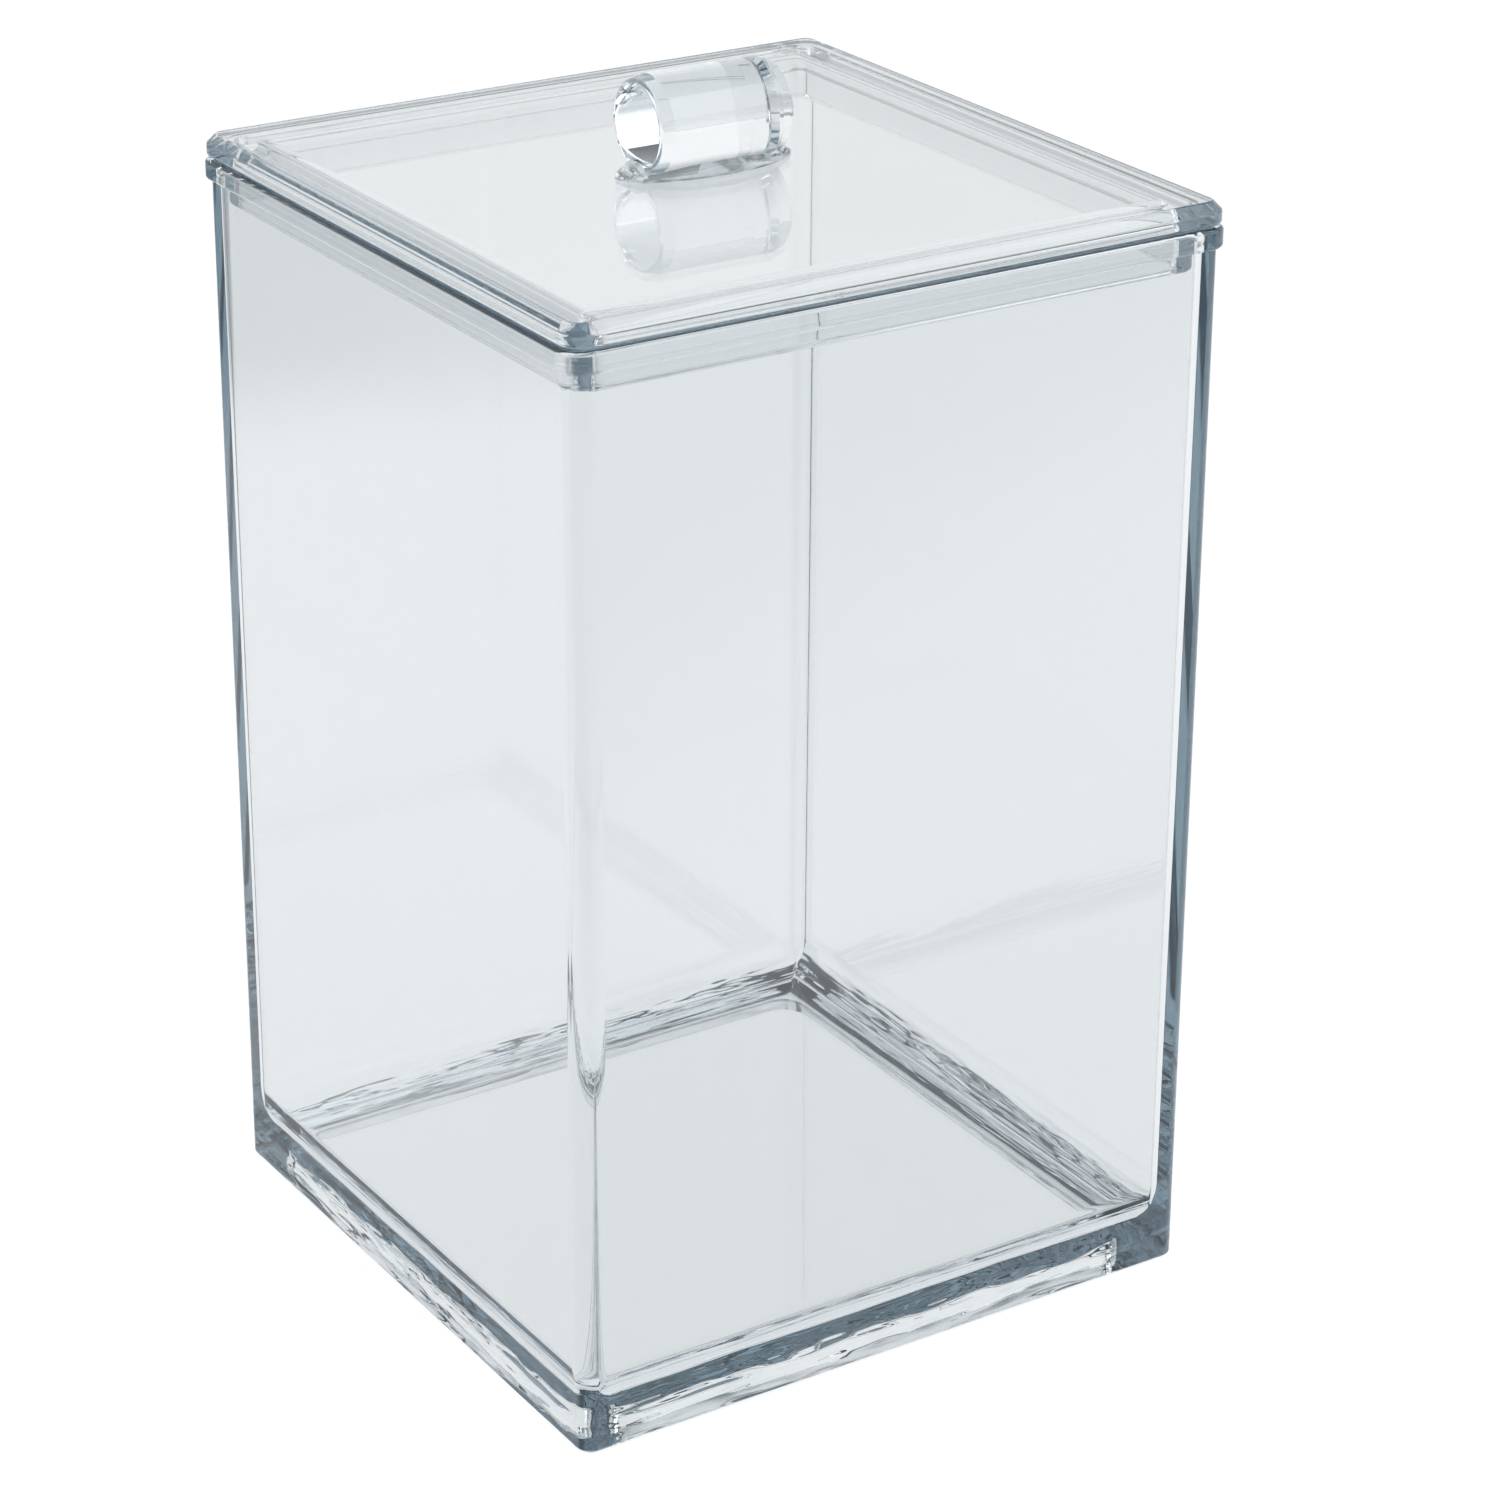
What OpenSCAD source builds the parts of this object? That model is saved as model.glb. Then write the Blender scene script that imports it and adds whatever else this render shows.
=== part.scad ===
/* [Bin] */
// Outer width of the square bin below its rim
bin_w = 112; // [90:1:140]
// Height from the table to the top of the rim
bin_h = 175.3; // [140:0.1:220]
// Corner radius of the bin's outer wall, in plan
corner_r = 2.5; // [2:0.1:5]
// Wall thickness at the mouth
wall_mouth = 2; // [1.6:0.1:2.6]
// Wall thickness at the floor, where the inside narrows a little
wall_floor = 2.6; // [2:0.1:4]
// Corner radius of the inside, in plan
inside_r = 2.5; // [1.5:0.1:5]
// Round of the mouth's inner edge
mouth_round = 0.5; // [0.2:0.1:0.8]
/* [Rim] */
// Height of the rim band at the mouth
rim_h = 3.5; // [2.4:0.1:8]
// How far the rim stands out from the wall
rim_out = 1; // [0.8:0.1:3]
// Bevel along the rim's top and bottom edges
rim_bevel = 0.5; // [0.2:0.1:0.9]
/* [Base] */
// Thickness of the floor above the hollow underside
floor_t = 3; // [2:0.1:6]
// Fillet between the floor and the walls, inside
floor_fillet = 8; // [3:0.5:12]
// Width of the ring that the bin stands on
foot_w = 7.5; // [4:0.5:14]
// Depth of the hollow inside the foot ring
foot_h = 2.5; // [1:0.1:5]
// Corner radius of that hollow, in plan
hollow_r = 5; // [3:0.5:10]
// Fillet along the ceiling of that hollow
hollow_fillet = 0.8; // [0.2:0.1:0.9]
// Bevel along the bin's bottom edge
base_bevel = 0.5; // [0.2:0.1:1.2]
/* [Lid] */
// Thickness of the lid's edge, which rests on the rim
lid_edge_h = 3.8; // [3.4:0.1:8]
// How far the lid's edge stays inside the rim's edge
lid_inset = 0.3; // [0:0.1:0.5]
// Bevel along the lid's top edge
lid_bevel = 1.5; // [0.5:0.1:2.2]
// Bevel along the lid's bottom edge
lid_under_bevel = 0.6; // [0.2:0.1:0.9]
// Thickness of the lid's plate inside the plug ring
lid_plate_t = 2.8; // [2:0.1:3.4]
// How far the plug ring reaches down below the lid's edge
plug_depth = 7.1; // [4:0.1:16]
// Thickness of the plug ring
plug_wall = 2.7; // [1.6:0.1:5]
// Gap between the plug ring and the bin's mouth
plug_gap = 0.7; // [0.4:0.1:1.2]
// Corner radius of the plug ring's outside, in plan
plug_r = 3; // [2:0.1:5]
// Bevel along the plug ring's lower edges
plug_bevel = 0.5; // [0.2:0.1:0.7]
// Fillet between the plug ring and the plate, inside
plug_fillet = 2.2; // [0.5:0.1:3]
/* [Handle] */
// Diameter of the bar
bar_d = 15.2; // [10:0.1:24]
// Length of the bar
bar_len = 23.7; // [16:0.1:60]
// How far each end of the bar tapers in
bar_taper = 0.5; // [0.2:0.1:1]
// Length of that taper
bar_taper_len = 2.3; // [1:0.1:4]
// Bevel round each end face
bar_bevel = 0.4; // [0.2:0.1:0.8]
// Clearance between the bar's lowest line and the lid
bar_lift = 0.3; // [0.2:0.1:2]
// How far the oval saddle reaches past each end of the bar
saddle_past = 3.4; // [2:0.1:8]
// Width of the saddle's foot
saddle_w = 12.4; // [8:0.1:20]
// Height of the saddle's flanks beside the bar
saddle_h = 2.4; // [1.2:0.1:4]
// Height of the saddle's foot before its flanks slope in
saddle_foot_h = 0.5; // [0.3:0.1:1]
// How far the saddle's ends lean in towards their top
saddle_end_lean = 2.8; // [1:0.1:5]
// How far the saddle's flanks lean in towards their top
saddle_side_lean = 1.4; // [0.4:0.1:3]
// Thickness of the bond between the bar and its saddle
bond_t = 0.1; // [0.05:0.05:0.2]

/* [Hidden] */
$fn = 64;
// Steps in a quarter round of a moulded fillet
fillet_steps = 6;
// How far a cut runs past the face that it opens, and a fillet into its walls
over = 1;
// Height of the thinnest slice of a blended shape
slice_h = 0.01;

clear_wall = [0.80, 0.87, 0.90, 0.45];
clear_lid = [0.72, 0.81, 0.86, 0.55];
clear_grip = [0.60, 0.70, 0.76, 0.70];

floor_z = foot_h + floor_t;
rim_w = bin_w + 2 * rim_out;
rim_r = corner_r + rim_out;
mouth_w = bin_w - 2 * wall_mouth;
floor_w = bin_w - 2 * wall_floor;
hollow_w = bin_w - 2 * foot_w;
// How far the inside has opened out at the mouth, on each side
draft = wall_floor - wall_mouth;
// Half the inside's width where the floor fillet ends
fillet_reach = floor_w / 2 + draft * floor_fillet / (bin_h - mouth_round - floor_z);

lid_w = rim_w - 2 * lid_inset;
lid_r = rim_r - lid_inset;
lid_top_z = bin_h + lid_edge_h;
plate_under_z = lid_top_z - lid_plate_t;
plug_w = mouth_w - 2 * plug_gap;
plug_in_w = plug_w - 2 * plug_wall;
plug_z = bin_h - plug_depth;

bar_r = bar_d / 2;
bar_z = lid_top_z + bar_lift + bar_r;
saddle_l = bar_len + 2 * saddle_past;

// A square block with rounded corners, whose outline grows or shrinks with
// height: each profile point is [outline offset, height], from the bottom up
module moulded_block(w, r, profile) {
    core = w - 2 * r;
    low = profile[0];
    high = profile[len(profile) - 1];
    right = [for (p = profile) [w / 2 + p[0], p[1]]];
    left = [for (i = [len(profile) - 1 : -1 : 0]) [-w / 2 - profile[i][0], profile[i][1]]];
    for (turn = [0, 90])
        rotate([0, 0, turn])
            rotate([90, 0, 0])
                translate([0, 0, -core / 2])
                    linear_extrude(core)
                        polygon(concat(right, left));
    for (sx = [-1, 1], sy = [-1, 1])
        translate([sx * core / 2, sy * core / 2, 0])
            rotate_extrude()
                polygon(concat([[0, low[1]]], [for (p = profile) [r + p[0], p[1]]], [[0, high[1]]]));
}

// Profile points of a quarter round that narrows upwards to a flat ceiling
function round_in(size, z) = [
    for (i = [0 : fillet_steps])
        let (a = 90 * i / fillet_steps)
        [-size * (1 - cos(a)), z - size * (1 - sin(a))]
];

module bin_shell() {
    moulded_block(bin_w, corner_r, [
        [-base_bevel, 0],
        [0, base_bevel],
        [0, bin_h - rim_h / 2]
    ]);
    moulded_block(rim_w, rim_r, [
        [-rim_bevel, bin_h - rim_h],
        [0, bin_h - rim_h + rim_bevel],
        [0, bin_h - rim_bevel],
        [-rim_bevel, bin_h]
    ]);
}

// The space inside, which opens out a little towards the mouth
module bin_space() {
    moulded_block(floor_w, inside_r, [
        [0, floor_z],
        [draft, bin_h - mouth_round],
        [draft + mouth_round, bin_h],
        [draft + mouth_round, bin_h + over]
    ]);
}

// The fillet along one wall's foot, inside; two of them meet in a mitre
module floor_fillet_bar() {
    arc = [
        for (i = [0 : fillet_steps])
            let (a = 90 * i / fillet_steps)
            [fillet_reach - floor_fillet * (1 - sin(a)), floor_z + floor_fillet * (1 - cos(a))]
    ];
    bar_l = floor_w + 2 * over;
    rotate([90, 0, 0])
        translate([0, 0, -bar_l / 2])
            linear_extrude(bar_l)
                polygon(concat(arc, [
                    [fillet_reach + over, floor_z + floor_fillet],
                    [fillet_reach + over, floor_z - over],
                    [fillet_reach - floor_fillet, floor_z - over]
                ]));
}

// The shallow hollow that leaves the foot ring
module bin_hollow() {
    moulded_block(hollow_w, hollow_r, concat(
        [[0, -over]],
        round_in(hollow_fillet, foot_h)
    ));
}

module bin() {
    color(clear_wall) {
        difference() {
            bin_shell();
            bin_space();
            bin_hollow();
        }
        for (turn = [0, 90, 180, 270])
            rotate([0, 0, turn])
                floor_fillet_bar();
    }
}

module lid() {
    color(clear_lid)
        difference() {
            union() {
                moulded_block(lid_w, lid_r, [
                    [-lid_under_bevel, bin_h],
                    [0, bin_h + lid_under_bevel],
                    [0, lid_top_z - lid_bevel],
                    [-lid_bevel, lid_top_z]
                ]);
                moulded_block(plug_w, plug_r, [
                    [-plug_bevel, plug_z],
                    [0, plug_z + plug_bevel],
                    [0, bin_h + lid_edge_h / 2]
                ]);
            }
            // Its corner radius is the fillet's, so the ceiling's corners stay square
            moulded_block(plug_in_w, plug_fillet, concat(
                [[plug_bevel, plug_z - over]],
                [[plug_bevel, plug_z]],
                [[0, plug_z + plug_bevel]],
                round_in(plug_fillet, plate_under_z)
            ));
        }
}

// A flat oval slice, given its length and width
module oval(l, w, h) {
    linear_extrude(h)
        polygon([for (i = [0 : $fn - 1]) let (a = 360 * i / $fn) [l / 2 * cos(a), w / 2 * sin(a)]]);
}

// An oval foot whose flanks lean in, with a round seat for the bar
module handle_saddle() {
    color(clear_grip)
        difference() {
            translate([0, 0, lid_top_z])
                hull() {
                    oval(saddle_l, saddle_w, saddle_foot_h);
                    translate([0, 0, saddle_h - slice_h])
                        oval(saddle_l - 2 * saddle_end_lean, saddle_w - 2 * saddle_side_lean, slice_h);
                }
            translate([-bar_len / 2 - bond_t, 0, bar_z])
                rotate([0, 90, 0])
                    cylinder(h = bar_len + 2 * bond_t, r = bar_r + bond_t);
        }
}

module handle_bar() {
    half = bar_len / 2;
    color(clear_grip)
        translate([0, 0, bar_z])
            rotate([0, 90, 0])
                rotate_extrude()
                    polygon([
                        [0, -half],
                        [bar_r - bar_taper - bar_bevel, -half],
                        [bar_r - bar_taper, -half + bar_bevel],
                        [bar_r, -half + bar_taper_len],
                        [bar_r, half - bar_taper_len],
                        [bar_r - bar_taper, half - bar_bevel],
                        [bar_r - bar_taper - bar_bevel, half],
                        [0, half]
                    ]);
}

bin();
lid();
handle_saddle();
handle_bar();
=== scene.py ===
import math

import bmesh
import bpy
from mathutils import Matrix, Vector


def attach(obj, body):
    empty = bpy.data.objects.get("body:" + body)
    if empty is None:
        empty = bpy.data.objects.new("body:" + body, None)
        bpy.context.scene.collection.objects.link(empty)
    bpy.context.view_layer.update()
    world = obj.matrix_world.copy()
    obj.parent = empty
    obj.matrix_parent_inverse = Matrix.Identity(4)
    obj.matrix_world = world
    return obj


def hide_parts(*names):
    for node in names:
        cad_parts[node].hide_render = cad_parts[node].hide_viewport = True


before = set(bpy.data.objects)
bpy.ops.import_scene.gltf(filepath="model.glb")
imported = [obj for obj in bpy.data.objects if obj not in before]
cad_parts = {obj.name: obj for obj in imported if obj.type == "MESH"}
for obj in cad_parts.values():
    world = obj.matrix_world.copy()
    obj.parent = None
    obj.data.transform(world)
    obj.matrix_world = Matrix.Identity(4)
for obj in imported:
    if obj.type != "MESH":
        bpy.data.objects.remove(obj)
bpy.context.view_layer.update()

mm = 0.001
print("frame ready", len(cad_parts), "nodes")


class Wire:
    # one output socket; arithmetic on it adds the Math nodes
    def __init__(self, graph, socket):
        self.graph = graph
        self.socket = socket

    def __add__(self, other):
        return self.graph.sum("ADD", self, other)

    def __radd__(self, other):
        return self.graph.sum("ADD", other, self)

    def __sub__(self, other):
        return self.graph.sum("SUBTRACT", self, other)

    def __rsub__(self, other):
        return self.graph.sum("SUBTRACT", other, self)

    def __mul__(self, other):
        return self.graph.sum("MULTIPLY", self, other)

    def __rmul__(self, other):
        return self.graph.sum("MULTIPLY", other, self)


class Graph:
    # the node tree of a material or world, emptied and ready to fill
    def __init__(self, owner):
        owner.use_nodes = True
        self.tree = owner.node_tree
        self.tree.nodes.clear()

    def node(self, kind, settings=None, sockets=None, out=0):
        made = self.tree.nodes.new("ShaderNode" + kind)
        for name, value in (settings or {}).items():
            setattr(made, name, value)
        for name, value in (sockets or {}).items():
            if isinstance(value, Wire):
                self.tree.links.new(value.socket, made.inputs[name])
            else:
                made.inputs[name].default_value = value
        return Wire(self, made.outputs[out] if len(made.outputs) else None)

    def sum(self, operation, first, second):
        return self.node("Math", {"operation": operation}, {0: first, 1: second})


def splitAxes(g, vector):
    split = g.node("SeparateXYZ", sockets={0: vector}).socket.node
    return [Wire(g, split.outputs[i]) for i in range(3)]


def fade(g, value, start, end, first, last, kind="SMOOTHSTEP"):
    # from first to last, as the value goes from start to end
    return g.node("MapRange", {"interpolation_type": kind},
                  {0: value, 1: start, 2: end, 3: first, 4: last})


def mixColours(g, amount, first, second):
    return g.node("Mix", {"data_type": "RGBA"},
                  {0: amount, 6: (*first, 1), 7: (*second, 1)}, out=2)


cameraFit = {
    "sensor": 36,
    "lens": 104.592,
    "yaw": -33.303,         # degrees, from looking along +Y
    "pitch": 22.38,
    "roll": 0.517,
    "aside": 14.355 * mm,   # from the origin, in the camera's own directions
    "above": 96.303 * mm,
    "away": 727.608 * mm,
    "shiftX": -0.02953,
    "shiftY": -0.08400,
    "clipFrom": 0.01,
    "clipTo": 50,
}


def makeCamera(fit):
    yaw, pitch, roll = (math.radians(fit[k]) for k in ("yaw", "pitch", "roll"))
    back = Vector((math.sin(yaw) * math.cos(pitch),
                   -math.cos(yaw) * math.cos(pitch),
                   math.sin(pitch)))
    right = Vector((math.cos(yaw), math.sin(yaw), 0))
    up = back.cross(right)
    turned = Matrix((right, up, back)).transposed() @ Matrix.Rotation(roll, 3, "Z")
    data = bpy.data.cameras.new("camera")
    data.sensor_width = fit["sensor"]
    data.lens = fit["lens"]
    data.shift_x = fit["shiftX"]
    data.shift_y = fit["shiftY"]
    data.clip_start = fit["clipFrom"]
    data.clip_end = fit["clipTo"]
    camera = bpy.data.objects.new("camera", data)
    place = right * fit["aside"] + up * fit["above"] + back * fit["away"]
    camera.matrix_world = Matrix.Translation(place) @ turned.to_4x4()
    bpy.context.scene.collection.objects.link(camera)
    bpy.context.scene.camera = camera


table = {
    "floorSize": 8,
    "floorDrop": 0.15 * mm,          # the bin's foot stays clear of the floor
    "paper": (0.30, 0.30, 0.30),     # how much of the lamps' light the table gives back
    "paperFar": (0.44, 0.47, 0.49),  # and the floor past its edges
    "glow": 0.89,                    # painted light: the table's own glow, which lifts the shade under the bin
    "glowFar": 0.26,
    "grainScale": 420.0,
    "grainDeep": 0.02,
    "edgeFrom": (0.412, 0.911),      # across the table's near edge, away from the camera
    "edgeAway": 0.230,               # from the origin to that edge
    "edgeSoft": 0.06,
    "backFrom": (0.35, -0.94),       # the same for the two edges of its back left corner
    "backAway": 0.45,
    "sideFrom": (0.94, -0.34),
    "sideAway": 0.21,
    "cornerSoft": 0.05,
}


def makeFloor(look):
    bm = bmesh.new()
    bmesh.ops.create_grid(bm, x_segments=1, y_segments=1, size=look["floorSize"] / 2)
    bmesh.ops.translate(bm, verts=bm.verts, vec=(0, 0, -look["floorDrop"]))
    floor = addPiece(bm, "floor")
    material = bpy.data.materials.new("paperFloor")
    g = Graph(material)
    place = g.node("TexCoord", out="Object")
    x, y = splitAxes(g, place)[:2]

    def inside(line, away, soft):
        # 1 on the origin's side of a soft line on the floor, 0 past it
        return fade(g, x * line[0] + y * line[1] + away, -soft, soft, 0.0, 1.0)

    near = inside(look["edgeFrom"], look["edgeAway"], look["edgeSoft"])
    back = inside(look["backFrom"], look["backAway"], look["cornerSoft"])
    side = inside(look["sideFrom"], look["sideAway"], look["cornerSoft"])
    onTable = near * (1 - (1 - back) * (1 - side))
    grain = g.node("TexNoise", sockets={
        "Vector": place, "Scale": look["grainScale"], "Detail": 3.0,
    })
    # painted light: the floor glows by itself, brighter on the table than past its edges, with
    # faint grain
    paintedGlow = (grain - 0.5) * look["grainDeep"] + onTable * (look["glow"] - look["glowFar"])
    paintedGlow = paintedGlow + look["glowFar"]
    glow = g.node("CombineColor", sockets={0: paintedGlow, 1: paintedGlow, 2: paintedGlow})
    paper = g.node("BsdfPrincipled", sockets={
        "Base Color": mixColours(g, onTable, look["paperFar"], look["paper"]),
        "Roughness": 0.9, "Specular IOR Level": 0.1,
        "Emission Color": glow, "Emission Strength": 1.0,
    })
    g.node("OutputMaterial", sockets={"Surface": paper})
    floor.data.materials.append(material)


surround = {
    "backdrop": (1.0, 1.0, 1.0),
    "room": (0.075, 0.090, 0.102),
    "towards": (0.412, 0.911),   # where the backdrop stands, seen from above
    "sideFrom": -0.25,           # it comes up between these, from the side to the middle
    "sideTo": 0.45,
    "topFrom": 0.45,             # and fades between these, going up
    "topTo": 0.8,
    "topLeft": 0.25,             # to this much
}


def makeWorld(look):
    world = bpy.data.worlds.new("studio")
    bpy.context.scene.world = world
    g = Graph(world)
    x, y, z = splitAxes(g, g.node("TexCoord", out="Generated"))
    ahead = x * look["towards"][0] + y * look["towards"][1]
    behind = fade(g, ahead, look["sideFrom"], look["sideTo"], 0.0, 1.0)
    low = fade(g, z, look["topFrom"], look["topTo"], 1.0, look["topLeft"])
    glow = mixColours(g, behind * low, look["room"], look["backdrop"])
    light = g.node("Background", sockets={"Color": glow, "Strength": 1.0})
    g.node("OutputWorld", sockets={"Surface": light})


softboxes = {
    "leftBox": {"place": (-1.1, 0.1, 0.75), "aim": (0, 0, 0.08),
                "size": (0.5, 0.9), "power": 4},
    "frontBox": {"place": (0.46, -0.55, 0.47), "aim": (0, 0, 0.19),
                 "size": (0.8, 1.0), "power": 3.6},
}


def addSoftbox(name, look):
    data = bpy.data.lights.new(name, "AREA")
    data.shape = "RECTANGLE"
    data.size, data.size_y = look["size"]
    data.energy = look["power"]
    box = bpy.data.objects.new(name, data)
    box.visible_camera = False
    bpy.context.scene.collection.objects.link(box)
    turn = (Vector(look["aim"]) - Vector(look["place"])).to_track_quat("-Z", "Y")
    box.matrix_world = Matrix.Translation(look["place"]) @ turn.to_matrix().to_4x4()


crossings = {"all": 200, "glossy": 200, "transmission": 40}


def letLightThrough(limits):
    # light crosses thick plastic many times before it leaves
    cycles = bpy.context.scene.cycles
    cycles.max_bounces = limits["all"]
    cycles.glossy_bounces = limits["glossy"]
    cycles.transmission_bounces = limits["transmission"]


def addPiece(bm, name):
    bmesh.ops.recalc_face_normals(bm, faces=bm.faces)
    data = bpy.data.meshes.new(name)
    bm.to_mesh(data)
    bm.free()
    piece = bpy.data.objects.new(name, data)
    bpy.context.scene.collection.objects.link(piece)
    return piece


def roundSharp(bm, sizes):
    # break the edges that turn by more than an angle
    limit = math.radians(sizes["sharpFrom"])
    sharp = [e for e in bm.edges if e.calc_face_angle() > limit]
    bmesh.ops.bevel(bm, geom=sharp, offset=sizes["edgeRound"] * mm, offset_type="OFFSET",
                    segments=sizes["edgeSteps"], profile=0.5, affect="EDGES", material=-1,
                    clamp_overlap=True)


def squareRing(bm, width, radius, z, steps):
    # an outline with rounded corners, cut from one square face
    known = set(bm.edges)
    grid = bmesh.ops.create_grid(bm, x_segments=1, y_segments=1, size=width / 2)
    bmesh.ops.translate(bm, verts=grid["verts"], vec=(0, 0, z))
    bmesh.ops.bevel(bm, geom=grid["verts"], offset=radius, offset_type="OFFSET",
                    segments=steps, profile=0.5, affect="VERTICES", material=-1)
    ring = [e for e in bm.edges if e not in known]
    inner = list({f for e in ring for f in e.link_faces})
    bmesh.ops.delete(bm, geom=inner, context="FACES_ONLY")
    return ring


moulding = {
    "leastCorner": 0.3,     # mm, the corner radius that a sharp corner still has
    "cornerSteps": 8,
    "weld": 0.002,          # mm
    "edgeRound": 0.22,      # mm
    "edgeSteps": 3,
    "sharpFrom": 24,        # degrees
}


def mould(outlines, m):
    # a closed shell through the outlines, capped at both ends, with its sharp edges broken
    bm = bmesh.new()
    for pair in zip(outlines, outlines[1:]):
        rings = [squareRing(bm, width * mm, max(radius, m["leastCorner"]) * mm, z * mm,
                            m["cornerSteps"])
                 for width, radius, z in pair]
        bmesh.ops.bridge_loops(bm, edges=rings[0] + rings[1])
    bmesh.ops.remove_doubles(bm, verts=bm.verts, dist=m["weld"] * mm)
    bmesh.ops.holes_fill(bm, edges=[e for e in bm.edges if e.is_boundary], sides=0)
    bmesh.ops.recalc_face_normals(bm, faces=bm.faces)
    roundSharp(bm, m)
    return bm


def finishPiece(piece, node, body, material):
    for face in piece.data.polygons:
        face.use_smooth = True
    weighted = piece.modifiers.new("flatWalls", "WEIGHTED_NORMAL")
    weighted.mode = "FACE_AREA"
    weighted.weight = 100
    piece.data.materials.append(material)
    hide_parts(node)
    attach(piece, body)
    print(piece.name, "ready", len(piece.data.polygons))


def rippled(g, place, look):
    # moulding ripples on the upright faces, where the plastic is thick
    stretched = g.node("VectorMath", {"operation": "MULTIPLY"}, {0: place, 1: look["stretch"]})
    ripple = g.node("TexNoise", sockets={
        "Vector": stretched, "Scale": look["scale"], "Detail": 2.0,
    })
    height = splitAxes(g, place)[2]
    low = fade(g, height, look["fadeFrom"] * mm, look["fadeTo"] * mm, 1.0, 0.0)
    facing = splitAxes(g, g.node("TexCoord", out="Normal"))[2]
    level = g.node("Math", {"operation": "ABSOLUTE"}, {0: facing})
    upright = fade(g, level, *look["leanRange"], 1.0, look["onLevel"], kind="LINEAR")
    return ripple * low * upright * look["depth"]


def clearPlastic(name, look):
    material = bpy.data.materials.new(name)
    g = Graph(material)
    place = g.node("TexCoord", out="Object")
    flow = g.node("TexNoise", sockets={
        "Vector": place, "Scale": look["flowScale"], "Detail": 1.5, "Roughness": 0.4,
    })
    haze = g.node("TexNoise", sockets={
        "Vector": place, "Scale": look["hazeScale"], "Detail": 5.0,
    })
    dust = g.node("TexNoise", sockets={
        "Vector": place, "Scale": look["dustScale"], "Detail": 2.0,
    })
    speck = fade(g, dust, *look["dustRange"], 0.0, 1.0, kind="LINEAR")
    smudge = fade(g, haze, *look["hazeRange"], 0.0, look["hazeRough"], kind="LINEAR")
    deeper = haze * look["hazeTint"] + speck * look["dustTint"]
    relief = flow * look["flowDepth"]
    if look["ripples"]:
        relief = relief + rippled(g, place, look["ripples"])
    waves = g.node("Bump", sockets={"Strength": 1.0, "Distance": mm, "Height": relief})
    body = g.node("BsdfPrincipled", sockets={
        "Base Color": mixColours(g, deeper, look["tint"], look["tintDeep"]),
        "Roughness": smudge + speck * look["dustRough"] + look["gloss"],
        "Normal": waves, "IOR": look["ior"], "Transmission Weight": 1.0,
    })
    inside = g.node("VolumeAbsorption", sockets={
        "Color": (*look["depthColour"], 1), "Density": look["depth"],
    })
    g.node("OutputMaterial", sockets={"Surface": body, "Volume": inside})
    return material


binLook = {
    "tint": (0.886, 0.897, 0.902),
    "tintDeep": (0.862, 0.878, 0.886),
    "gloss": 0.002,                       # the polished face's roughness
    "hazeScale": 55.0,
    "hazeRange": (0.56, 0.80),
    "hazeTint": 0.5,
    "hazeRough": 0.05,
    "dustScale": 2600.0,
    "dustRange": (0.66, 0.74),
    "dustTint": 0.25,
    "dustRough": 0.04,
    "flowScale": 22.0,
    "flowDepth": 0.05,                    # mm
    "ior": 1.57,
    "depthColour": (0.595, 0.69, 0.74),   # what thick plastic turns white light into
    "depth": 34.0,
    "ripples": {
        "scale": 45.0, "stretch": (1.0, 1.0, 5.0), "depth": 1.2,   # depth in mm
        "leanRange": (0.3, 0.8),          # they weaken as a face leans from upright
        "onLevel": 0.05,                  # to this much on the level faces
        "fadeFrom": 5.0, "fadeTo": 11.0,  # mm, heights
    },
}
lidLook = {**binLook, "flowScale": 30.0, "flowDepth": 0.04, "depth": 18.0, "ripples": None}
gripLook = {**lidLook, "tint": (0.96, 0.97, 0.975), "tintDeep": (0.94, 0.955, 0.96),
            "flowScale": 60.0, "flowDepth": 0.02, "depth": 12.0}
# painted shade: the saddle is the same clear plastic as the bar but is tinted greyer to show
# it mid-grey
saddleShadedLook = {**gripLook, "tint": (0.80, 0.83, 0.845), "tintDeep": (0.72, 0.76, 0.78),
              "gloss": 0.06}


def quarterTurn(count):
    return [math.pi / 2 * i / count for i in range(count + 1)]


binSizes = {
    "width": 112.0, "height": 175.3, "corner": 2.5,
    "wallMouth": 2.0, "wallFloor": 2.6, "insideCorner": 2.5, "mouthRound": 0.5,
    "rimHigh": 3.5, "rimOut": 1.0, "rimBevel": 0.5,
    "floor": 3.0, "floorFillet": 8.0, "floorSteps": 10,
    "footWide": 7.5, "footHigh": 2.5, "baseBevel": 0.5,
    "hollowCorner": 5.0, "hollowFillet": 0.8, "hollowSteps": 6,
    "mitre": 0.35,          # radius left where two floor fillets meet
    "mitreRate": 1.2,       # how fast the inside corners sharpen down the fillet
    "rimGap": 0.05,         # hairline between the rim and the lid
}


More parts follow.
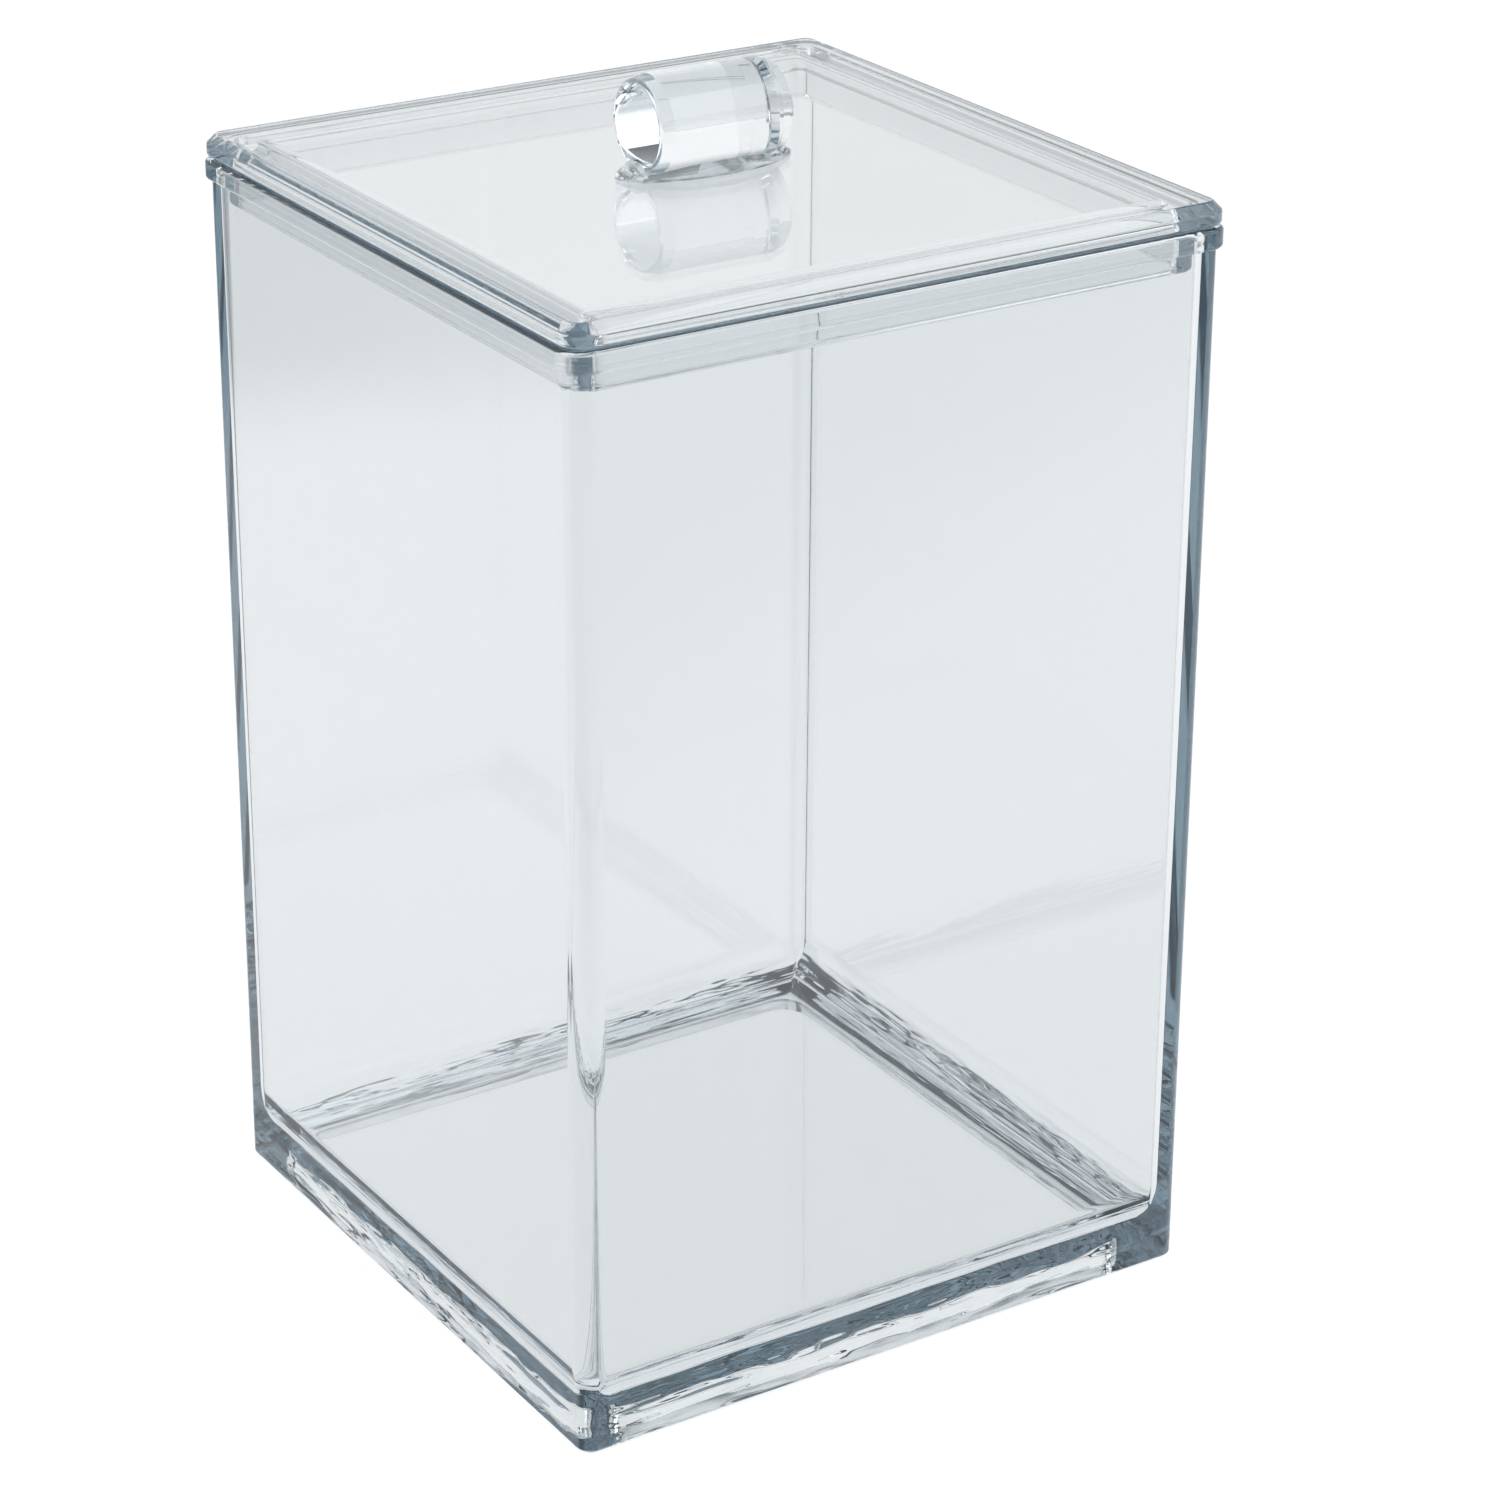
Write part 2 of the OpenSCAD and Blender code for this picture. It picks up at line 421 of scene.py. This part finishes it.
def makeBin(s):
    floorZ = s["footHigh"] + s["floor"]
    top = s["height"] - s["rimGap"]
    rimZ = s["height"] - s["rimHigh"]
    rimW = s["width"] + 2 * s["rimOut"]
    rimR = s["corner"] + s["rimOut"]
    rimBevelW = rimW - 2 * s["rimBevel"]
    rimBevelR = rimR - s["rimBevel"]
    floorW = s["width"] - 2 * s["wallFloor"]
    draft = s["wallFloor"] - s["wallMouth"]
    mouthR = s["insideCorner"] + draft
    hollowW = s["width"] - 2 * s["footWide"]
    slope = draft / (s["height"] - s["mouthRound"] - floorZ)
    filletW = floorW + 2 * slope * s["floorFillet"]
    outlines = []
    for a in reversed(quarterTurn(s["hollowSteps"])):
        inset = s["hollowFillet"] * (1 - math.cos(a))
        outlines.append((hollowW - 2 * inset, s["hollowCorner"] - inset,
                         s["footHigh"] - s["hollowFillet"] * (1 - math.sin(a))))
    outlines += [
        (hollowW, s["hollowCorner"], 0),
        (s["width"] - 2 * s["baseBevel"], s["corner"] - s["baseBevel"], 0),
        (s["width"], s["corner"], s["baseBevel"]),
        (s["width"], s["corner"], rimZ),
        (rimBevelW, rimBevelR, rimZ),
        (rimW, rimR, rimZ + s["rimBevel"]),
        (rimW, rimR, s["height"] - s["rimBevel"]),
        (rimBevelW, rimBevelR, top),
        (floorW + 2 * (draft + s["mouthRound"]), mouthR + s["mouthRound"], top),
        (floorW + 2 * draft, mouthR, s["height"] - s["mouthRound"]),
    ]
    for a in reversed(quarterTurn(s["floorSteps"])):
        inset = s["floorFillet"] * (1 - math.sin(a))
        radius = max(s["insideCorner"] - s["mitreRate"] * inset, s["mitre"])
        outlines.append((filletW - 2 * inset, radius,
                         floorZ + s["floorFillet"] * (1 - math.cos(a))))
    return addPiece(mould(outlines, moulding), "clearBin")


lidSizes = {
    "edgeHigh": 3.8, "inset": 0.3, "bevel": 1.5, "underBevel": 0.6, "plate": 2.8,
    "plugDeep": 7.1, "plugWall": 2.7, "plugGap": 0.7, "plugCorner": 3.0,
    "plugBevel": 0.5, "plugFillet": 2.2, "plugSteps": 8,
}


def makeLid(s, b):
    under = b["height"]
    topZ = under + s["edgeHigh"]
    width = b["width"] + 2 * b["rimOut"] - 2 * s["inset"]
    corner = b["corner"] + b["rimOut"] - s["inset"]
    plugW = b["width"] - 2 * b["wallMouth"] - 2 * s["plugGap"]
    plugIn = plugW - 2 * s["plugWall"]
    plugZ = under - s["plugDeep"]
    ceiling = topZ - s["plate"]
    outlines = []
    for a in reversed(quarterTurn(s["plugSteps"])):
        outlines.append((plugIn - 2 * s["plugFillet"] * (1 - math.cos(a)),
                         s["plugFillet"] * math.cos(a),
                         ceiling - s["plugFillet"] * (1 - math.sin(a))))
    outlines += [
        (plugIn, s["plugFillet"], plugZ + s["plugBevel"]),
        (plugIn + 2 * s["plugBevel"], s["plugFillet"] + s["plugBevel"], plugZ),
        (plugW - 2 * s["plugBevel"], s["plugCorner"] - s["plugBevel"], plugZ),
        (plugW, s["plugCorner"], plugZ + s["plugBevel"]),
        (plugW, s["plugCorner"], under),
        (width - 2 * s["underBevel"], corner - s["underBevel"], under),
        (width, corner, under + s["underBevel"]),
        (width, corner, topZ - s["bevel"]),
        (width - 2 * s["bevel"], corner - s["bevel"], topZ),
    ]
    return addPiece(mould(outlines, moulding), "clearLid")


gripSizes = {
    "across": 15.2, "long": 23.7, "taper": 0.5, "taperLong": 2.3, "bevel": 0.4, "lift": 0.3,
    "past": 3.4, "saddleWide": 12.4, "saddleHigh": 2.4, "footHigh": 0.5,
    "endLean": 2.8, "sideLean": 1.4,
    "sit": 0.02,            # hairline between the saddle and the lid
    "bond": 0.1,            # the seat's gap round the bar, for the glue
    "edgeRound": 0.12, "edgeSteps": 3, "sharpFrom": 9, "weld": 0.001,
    "barSteps": 96, "seatSteps": 192, "ovalSteps": 96,
}


def makeBar(s, lidTop):
    r, half = s["across"] / 2, s["long"] / 2
    endR = r - s["taper"]
    barZ = lidTop + s["lift"] + r
    bm = bmesh.new()
    profile = [
        (-half, 0), (-half, endR - s["bevel"]), (-half + s["bevel"], endR),
        (-half + s["taperLong"], r), (half - s["taperLong"], r),
        (half - s["bevel"], endR), (half, endR - s["bevel"]), (half, 0),
    ]
    points = []
    for x, out in profile:
        made = bmesh.ops.create_vert(bm, co=(x * mm, 0, (barZ + out) * mm))
        points += made["vert"]
    for one, two in zip(points, points[1:]):
        bmesh.ops.contextual_create(bm, geom=[one, two])
    bmesh.ops.spin(bm, geom=bm.verts[:] + bm.edges[:], cent=(0, 0, barZ * mm), axis=(1, 0, 0),
                   dvec=(0, 0, 0), angle=math.tau, steps=s["barSteps"], use_merge=True)
    bmesh.ops.remove_doubles(bm, verts=bm.verts, dist=s["weld"] * mm)
    bmesh.ops.recalc_face_normals(bm, faces=bm.faces)
    roundSharp(bm, s)
    return addPiece(bm, "handleBar")


def ovalRing(bm, long, wide, z, steps):
    made = bmesh.ops.create_circle(bm, cap_ends=False, radius=0.5, segments=steps)["verts"]
    bmesh.ops.scale(bm, verts=made, vec=(long * mm, wide * mm, 1))
    bmesh.ops.translate(bm, verts=made, vec=(0, 0, z * mm))
    return list({e for v in made for e in v.link_edges})


def makeSaddle(s, lidTop):
    barZ = lidTop + s["lift"] + s["across"] / 2
    long = s["long"] + 2 * s["past"]
    bm = bmesh.new()
    rings = []
    for lean, z in ((0, s["sit"]), (0, s["footHigh"]), (1, s["saddleHigh"])):
        rings.append(ovalRing(bm, long - 2 * s["endLean"] * lean,
                              s["saddleWide"] - 2 * s["sideLean"] * lean,
                              lidTop + z, s["ovalSteps"]))
        if len(rings) > 1:
            bmesh.ops.bridge_loops(bm, edges=rings[-2] + rings[-1])
    for end in (rings[0], rings[-1]):
        bmesh.ops.contextual_create(bm, geom=end)
    saddle = addPiece(bm, "handleSaddle")

    # a cylinder a little larger than the bar cuts its seat
    seatR = (s["across"] / 2 + s["bond"]) * mm
    bm = bmesh.new()
    bmesh.ops.create_cone(bm, cap_ends=True, segments=s["seatSteps"], radius1=seatR,
                          radius2=seatR, depth=(s["long"] + 2 * s["bond"]) * mm)
    lying = Matrix.Rotation(math.pi / 2, 3, "Y")
    bmesh.ops.rotate(bm, verts=bm.verts, cent=(0, 0, 0), matrix=lying)
    bmesh.ops.translate(bm, verts=bm.verts, vec=(0, 0, barZ * mm))
    seat = addPiece(bm, "seatCutter")
    cut = saddle.modifiers.new("seat", "BOOLEAN")
    cut.operation = "DIFFERENCE"
    cut.solver = "EXACT"
    cut.object = seat
    bpy.context.view_layer.update()
    seen = saddle.evaluated_get(bpy.context.evaluated_depsgraph_get())
    shaped = bpy.data.meshes.new_from_object(seen)
    saddle.modifiers.clear()
    saddle.data = shaped
    bpy.data.objects.remove(seat)
    return saddle


makeCamera(cameraFit)
makeFloor(table)
makeWorld(surround)
for name, look in softboxes.items():
    addSoftbox(name, look)
letLightThrough(crossings)
bpy.context.scene.view_settings.view_transform = "Standard"
print("studio ready")

lidTop = binSizes["height"] + lidSizes["edgeHigh"]
finishPiece(makeBin(binSizes), "bin", "bin",
            clearPlastic("clearBinPlastic", binLook))
finishPiece(makeLid(lidSizes, binSizes), "lid", "lid",
            clearPlastic("clearLidPlastic", lidLook))
finishPiece(makeSaddle(gripSizes, lidTop), "handle_saddle", "lid",
            clearPlastic("clearSaddlePlastic", saddleShadedLook))
finishPiece(makeBar(gripSizes, lidTop), "handle_bar", "lid",
            clearPlastic("clearBarPlastic", gripLook))
